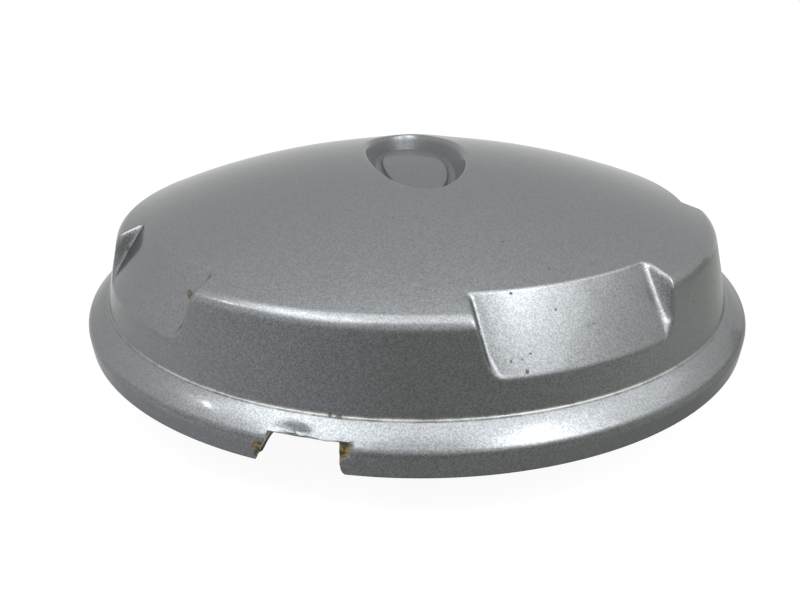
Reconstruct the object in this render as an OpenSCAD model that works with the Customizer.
// Wheel centre cap: a thin moulded dish that clips into the middle of a road wheel.
// The axis is Z, the dome points up and z = 0 is the plane of the rim that meets the wheel.
// Turns are measured from the front (-Y) towards +X.

/* [Rim] */
// Diameter over the rim
rim_d = 150; // [146:1:180]
// Height of the upright side, up to the corner with the sloping flange
rim_side_h = 5.1; // [4.6:0.1:7]
// Rounding of the corner between side and flange
rim_edge_round = 2.6; // [0.8:0.1:3]
// Width of the sloping flange
flange_w = 4.5; // [3.5:0.05:8]
// Rise of the flange towards the wall
flange_rise = 1.9; // [0.8:0.1:3]

/* [Wall and dome] */
// Height of the apex over the rim plane
cap_h = 32.2; // [31:0.1:38]
// Radius of the ball that the dome is part of
dome_r = 190; // [150:1:260]
// How far the wall leans in, from its foot to the shoulder
wall_lean = 4.35; // [2.5:0.05:7]
// Rounding of the shoulder between wall and dome
shoulder_round = 3.4; // [1.5:0.1:4.5]
// Rounding at the foot of the wall
foot_round = 0.5; // [0.2:0.1:1]
// Thickness of the moulding
shell_t = 2; // [1.6:0.1:2.4]

/* [Pockets] */
// Number of pockets in the shoulder
pocket_count = 5; // [3:1:5]
// Turn of the first pocket
pocket_turn = 23.6; // [15:0.1:30]
// Width of a pocket's floor
pocket_w = 34.4; // [26:0.1:38]
// Lean of a pocket's side walls
pocket_draft = 27; // [18:1:35]
// How far a pocket reaches in over the dome, from the shoulder
pocket_reach = 5.5; // [4:0.1:7]
// Height of a pocket's lower edge
pocket_foot_h = 12.1; // [11:0.1:15]
// Rounding of a pocket's lower corners
pocket_corner = 2.6; // [1:0.1:4]

/* [Emblem seat] */
// Turn of the seat's long axis
seat_turn = 5.7; // [0:0.1:20]
// Length of the oval seat
seat_l = 58; // [46:1:62]
// Width of the oval seat
seat_w = 23; // [19:0.5:30]
// Depth of the seat's floor, which follows the dome
seat_depth = 4.2; // [2:0.1:5]
// Width of the seat's sloping border
seat_border = 2.5; // [2:0.1:4]
// Length of the bare oval pad
pad_l = 47; // [30:1:50]
// Width of the bare oval pad
pad_w = 14.5; // [8:0.5:15.5]
// Height of the pad over the seat's floor
pad_h = 0.7; // [0.3:0.1:1.5]
// Width of the pad's bevel
pad_bevel = 0.4; // [0.1:0.1:0.8]

/* [Pry notch] */
// Turn of the notch
notch_turn = -12.7; // [-14:0.1:-10]
// Width of the notch at its top
notch_w = 11.6; // [8:0.1:16]
// How much wider the notch is at its foot
notch_flare = 1; // [0:0.1:2]
// Rounding of the rim's corners beside the notch
notch_round = 0.7; // [0.4:0.1:2]
// How far the notch cuts into the rim's top edge
notch_in = 0.6; // [0.3:0.1:1.5]
// Slope of the relief under the flange
notch_relief = 42; // [38:1:60]
// Width of the dent that prying left over the notch
dent_w = 3.8; // [2:0.1:4.4]
// Depth of that dent
dent_depth = 0.3; // [0.1:0.05:0.5]
// How far the dent lies to the left of the notch's middle
dent_shift = 1.4; // [0:0.1:3]

/* [Clip legs] */
// Number of clip legs
leg_count = 10; // [5:5:10]
// Diameter of the wheel's hole that the legs clip into
hole_d = 114; // [100:1:116]
// Play between the legs and the hole
leg_play = 0.2; // [0.1:0.1:0.6]
// Width of a leg
leg_w = 10; // [6:0.5:13]
// Thickness of a leg
leg_t = 2.2; // [1.6:0.1:3]
// Reach of the legs below the rim plane
leg_drop = 9; // [7:0.5:12]
// How far the hook stands out of a leg
hook_out = 1.4; // [0.8:0.1:1.8]
// Thickness of the wheel's hole edge that the hook grips
hook_grip = 3; // [2:0.1:4]
// Height of the hook, without its lead-in
hook_h = 1.6; // [1:0.1:2.5]
// Thickness of the rib behind a leg
rib_t = 1.6; // [1.2:0.1:2.4]
// Reach of that rib towards the axis
rib_reach = 7; // [4:0.5:10]
// Height of the ring that ties the legs' roots
ring_h = 3; // [2:0.5:6]

/* [Hidden] */

round_steps = 7;      // steps in a rounded corner
oval_steps = 72;      // sides of an oval
over = 1;             // how far a cutter runs past what it cuts
slack = 0.05;         // overlap of solids that are fused
least_round = 0.3;    // smallest rounding left on a sunk outline
floor_lap = 0.3;      // how far a pocket's floor runs below its lower edge
cone_reach = 8;       // how far a pocket's cutters run past the two ends of its floor
hook_slope = 0.6;     // height of a hook's two slopes, as a share of its reach
tip_inset = 0.3;      // bevel at a leg's tip, as a share of its thickness
ring_inset = 0.15;    // how much thinner the ring is than a leg on each face, as a share

silver = [0.64, 0.65, 0.66];

rim_r = rim_d / 2;
foot_r = rim_r - flange_w;
foot_h = rim_side_h + flange_rise;
shoulder_r = foot_r - wall_lean;
dome_z = cap_h - dome_r;
pocket_r = shoulder_r - pocket_reach;
leg_r = hole_d / 2 - leg_play;

// Height of the dome, sunk by some depth, at a distance from the axis
function dome_h(r, sink = 0) = dome_z + sqrt(pow(dome_r - sink, 2) - r * r);

shoulder_h = dome_h(shoulder_r);
dome_slope = asin(shoulder_r / dome_r);
wall_dir = unit([shoulder_r - foot_r, shoulder_h - foot_h]);
flange_dir = unit([foot_r - rim_r, foot_h - rim_side_h]);

function unit(v) = v / norm(v);
// Left-hand normal of a direction, which points into the cap along its outline
function left_of(d) = [-d[1], d[0]];
// Where two lines cross, each given by a point and a direction
function crossing(p, d, q, e) =
    p + d * ((q - p)[0] * e[1] - (q - p)[1] * e[0]) / (d[0] * e[1] - d[1] * e[0]);

// The line that a pocket's floor follows, from the dome down to the wall
floor_top = [pocket_r, dome_h(pocket_r)];
floor_low = let (h = pocket_foot_h - floor_lap)
    [foot_r - (foot_r - shoulder_r) * (h - foot_h) / (shoulder_h - foot_h), h];
floor_dir = unit(floor_low - floor_top);

// A corner of a profile, rounded: from a line that comes in along d to one that leaves along e
function rounded(corner, d, e, radius) =
    let (turn = acos(d * e),
         side = sign(d[0] * e[1] - d[1] * e[0]),
         start = corner - d * radius * tan(turn / 2),
         centre = start + side * left_of(d) * radius)
    [for (i = [0:round_steps])
        let (a = side * turn * i / round_steps, v = start - centre)
        centre + [v[0] * cos(a) - v[1] * sin(a), v[0] * sin(a) + v[1] * cos(a)]];

// Outline of the moulding below the dome, pushed in by some depth
function side_outline(sink = 0) =
    let (up = [0, 1],
         over_dome = unit([-cos(dome_slope), sin(dome_slope)]),
         side_p = [rim_r - sink, 0],
         flange_p = [rim_r, rim_side_h] + left_of(flange_dir) * sink,
         wall_p = [foot_r, foot_h] + left_of(wall_dir) * sink,
         edge = crossing(side_p, up, flange_p, flange_dir),
         foot = crossing(flange_p, flange_dir, wall_p, wall_dir),
         dome_p = [shoulder_r, shoulder_h] - sink * [sin(dome_slope), cos(dome_slope)],
         shoulder = crossing(wall_p, wall_dir, dome_p, over_dome),
         bend = rounded(shoulder, wall_dir, over_dome, max(shoulder_round - sink, least_round)))
    concat(
        [[0, sink > 0 ? -over : 0], [rim_r - sink, sink > 0 ? -over : 0]],
        rounded(edge, up, flange_dir, max(rim_edge_round - sink, least_round)),
        rounded(foot, flange_dir, wall_dir, foot_round + sink),
        [for (i = [0:round_steps - 1]) bend[i]],
        [bend[round_steps - 1] + unit(bend[round_steps - 1] - bend[round_steps - 2]) * 2 * over
            + [-over, over], [0, cap_h + 5 * over]]);

// Solid inside of the outer skin, or inside of the skin sunk by some depth
module body(sink = 0) {
    intersection() {
        rotate_extrude($fn = 360) polygon(side_outline(sink));
        translate([0, 0, dome_z]) sphere(r = dome_r - sink, $fn = 360);
    }
}

// Turns what is drawn on the front (-Y) side to its place round the axis
module at_turn(turn) rotate([0, 0, turn]) children();

// A profile in radius and height, drawn as a straight bar across the front
module bar(width) {
    rotate([0, 0, -90]) rotate([90, 0, 0])
        linear_extrude(height = width, center = true) children();
}

// Space over a pocket's floor: outside of a cone that runs from the dome to the wall
module over_floor(sink) {
    in = -left_of(floor_dir) * sink;
    a = floor_top + in - floor_dir * cone_reach;
    b = floor_low + in + floor_dir * cone_reach;
    rotate_extrude($fn = 360)
        polygon([a, b, [rim_r + 4 * over, b[1]], [rim_r + 4 * over, a[1]]]);
}

// Front view of a pocket: rounded lower corners, and sides that stay clear of the side walls
module pocket_front(sink) {
    side = unit([tan(pocket_draft) * floor_dir[0], 1]);
    half = pocket_w / 2 - pocket_corner * side[0] / 2 + sink;
    high = cap_h + 4 * over;
    right = rounded([half, pocket_foot_h - sink], [1, 0], side, pocket_corner + sink);
    last = right[round_steps];
    tip = last + side * (high - last[1]) / side[1];
    polygon(concat(
        right, [tip, [-tip[0], tip[1]]],
        [for (i = [round_steps:-1:0]) [-right[i][0], right[i][1]]]));
}

// Section of a pocket across its floor: side walls that lean outwards
module pocket_section(sink) {
    mid_r = (floor_top[0] + floor_low[0]) / 2;
    sag = (mid_r - sqrt(mid_r * mid_r - pocket_w * pocket_w / 4)) * -floor_dir[1];
    low = -sag - sink - over;
    high = pocket_reach + over;
    grow = sink / cos(pocket_draft);
    function half(h) = pocket_w / 2 + grow + (h + sag) * tan(pocket_draft);
    polygon([[-half(low), low], [half(low), low], [half(high), high], [-half(high), high]]);
}

// One pocket's cutter, grown by the thickness of the moulding for its inner side
module pocket_cut(sink = 0) {
    intersection() {
        over_floor(sink);
        rotate([90, 0, 0]) linear_extrude(height = rim_r) pocket_front(sink);
        translate([0, -floor_top[0], floor_top[1]])
            rotate([90 + acos(floor_dir[0]), 0, 0]) translate([0, 0, -cone_reach])
                linear_extrude(height = rim_r) pocket_section(sink);
    }
}

module each_pocket() {
    for (i = [0:pocket_count - 1]) at_turn(pocket_turn + i * 360 / pocket_count) children();
}

// An oval block whose outline grows by flare from its lower to its upper face
module oval_block(length, width, low, high, flare) {
    ring = [for (i = [0:oval_steps - 1]) [cos(i * 360 / oval_steps), sin(i * 360 / oval_steps)]];
    n = oval_steps;
    points = concat(
        [for (p = ring) [p[0] * width / 2, p[1] * length / 2, low]],
        [for (p = ring) [p[0] * (width / 2 + flare), p[1] * (length / 2 + flare), high]]);
    faces = concat(
        [[for (i = [0:n - 1]) i]],
        [[for (i = [n - 1:-1:0]) n + i]],
        [for (i = [0:n - 1]) [i, n + i, n + (i + 1) % n]],
        [for (i = [0:n - 1]) [i, n + (i + 1) % n, (i + 1) % n]]);
    at_turn(seat_turn) polyhedron(points, faces);
}

// A ball about the dome's centre, sunk under the dome by some depth
module sunk_ball(sink) {
    translate([0, 0, dome_z]) sphere(r = dome_r - sink, $fn = 360);
}

// Cutter of the emblem seat, grown by the thickness of the moulding for its inner side
module seat_cut(sink = 0) {
    slope = seat_border / seat_depth;
    low = dome_h(seat_l / 2) - seat_depth - sink - over;
    high = cap_h + over;
    grow = 2 * sink * sqrt(1 + slope * slope);
    lip_h = dome_h(seat_w / 2);
    tip_h = dome_h(seat_l / 2);
    difference() {
        oval_block(seat_l + grow - 2 * slope * (tip_h - low),
                   seat_w + grow - 2 * slope * (lip_h - low), low, high, slope * (high - low));
        sunk_ball(seat_depth + sink);
    }
}

// The bare pad in the seat, with a bevelled edge
module pad() {
    intersection() {
        oval_block(pad_l + 2 * pad_bevel, pad_w + 2 * pad_bevel,
                   dome_h(pad_l / 2) - seat_depth - shell_t / 2, cap_h, -pad_bevel);
        sunk_ball(seat_depth - pad_h);
    }
}

// Front view of the notch: sides that flare and round off into the rim's foot
module notch_front(top_h) {
    foot = [(notch_w + notch_flare) / 2, 0];
    top = [notch_w / 2, top_h];
    high = rim_side_h + 4 * over;
    right = rounded(foot, [-1, 0], unit(top - foot), notch_round);
    polygon(concat(
        [[right[0][0], -over]], right, [top, [top[0], high], [-top[0], high], [-top[0], top[1]]],
        [for (i = [round_steps:-1:0]) [-right[i][0], right[i][1]]], [[-right[0][0], -over]]));
}

// The notch in the rim's side where a lever goes in, with the relief behind it
module notch_cut() {
    in_r = rim_r - notch_in;
    top_h = rim_side_h + notch_in * flange_rise / flange_w;
    deep = flange_w;
    foot = deep * tan(notch_relief);
    intersection() {
        bar(2 * notch_w) polygon([
            [rim_r + over, -over], [rim_r + over, top_h + 3 * over], [in_r, top_h + 3 * over],
            [in_r, top_h], [in_r - deep, top_h - foot], [in_r - deep, -over]]);
        rotate([90, 0, 0]) linear_extrude(height = rim_r + 2 * over) notch_front(top_h);
    }
}

// The shallow dent in the flange over the notch: a cap of a ball, kept off the wall
module dent_cut() {
    ball = (dent_w * dent_w / 4 + dent_depth * dent_depth) / (2 * dent_depth);
    at = rim_r - flange_w / 2;
    lean = atan(flange_rise / flange_w);
    translate([-dent_shift, -at, rim_side_h + flange_rise / 2])
        rotate([lean, 0, 0]) intersection() {
            translate([0, 0, ball - dent_depth]) sphere(r = ball, $fn = 96);
            translate([0, 0, -over]) cylinder(r = dent_w / 2 + slack, h = 1.5 * over, $fn = 48);
        }
}

// What hangs under the dome is cut off in the middle of the moulding's thickness
module under_dome() {
    intersection() {
        children();
        translate([0, 0, dome_z]) sphere(r = dome_r - shell_t / 2, $fn = 360);
    }
}

// One clip leg: a springy finger with a hook outside and a rib inside
module leg() {
    top = dome_h(leg_r - leg_t) + over;
    in_r = leg_r - leg_t;
    arc = 2 * asin(leg_w / 2 / leg_r);
    hook_top = -hook_grip;
    hook_foot = hook_top - hook_out * hook_slope - hook_h;
    at_turn(-90 - arc / 2) rotate_extrude(angle = arc, $fn = 360) polygon([
        [in_r, -leg_drop], [leg_r - leg_t * tip_inset, -leg_drop],
        [leg_r + hook_out, hook_foot], [leg_r + hook_out, hook_top - hook_out * hook_slope],
        [leg_r, hook_top], [leg_r, top], [in_r, top]]);
    bar(rib_t) polygon([
        [in_r + slack, foot_h], [in_r + slack, top], [in_r - rib_reach, top],
        [in_r - rib_reach, dome_h(in_r, shell_t) - ring_h]]);
}

// The ring of clip legs under the dome
module clip_ring() {
    pitch = 360 / leg_count;
    first = pocket_turn + 180 / leg_count;
    root_h = dome_h(leg_r, shell_t) - ring_h;
    under_dome() {
        for (i = [0:leg_count - 1]) at_turn(first + i * pitch) leg();
        difference() {
            translate([0, 0, root_h])
                cylinder(r = leg_r - leg_t * ring_inset, h = cap_h - root_h, $fn = 360);
            translate([0, 0, root_h - over])
                cylinder(r = leg_r - leg_t * (1 - ring_inset), h = cap_h, $fn = 360);
        }
    }
}

// The whole moulding
module cap() color(silver) {
    difference() {
        body();
        each_pocket() pocket_cut();
        seat_cut();
        difference() {
            body(shell_t);
            each_pocket() pocket_cut(shell_t);
            seat_cut(shell_t);
        }
        at_turn(notch_turn) {
            notch_cut();
            dent_cut();
        }
    }
    pad();
    clip_ring();
}

cap();
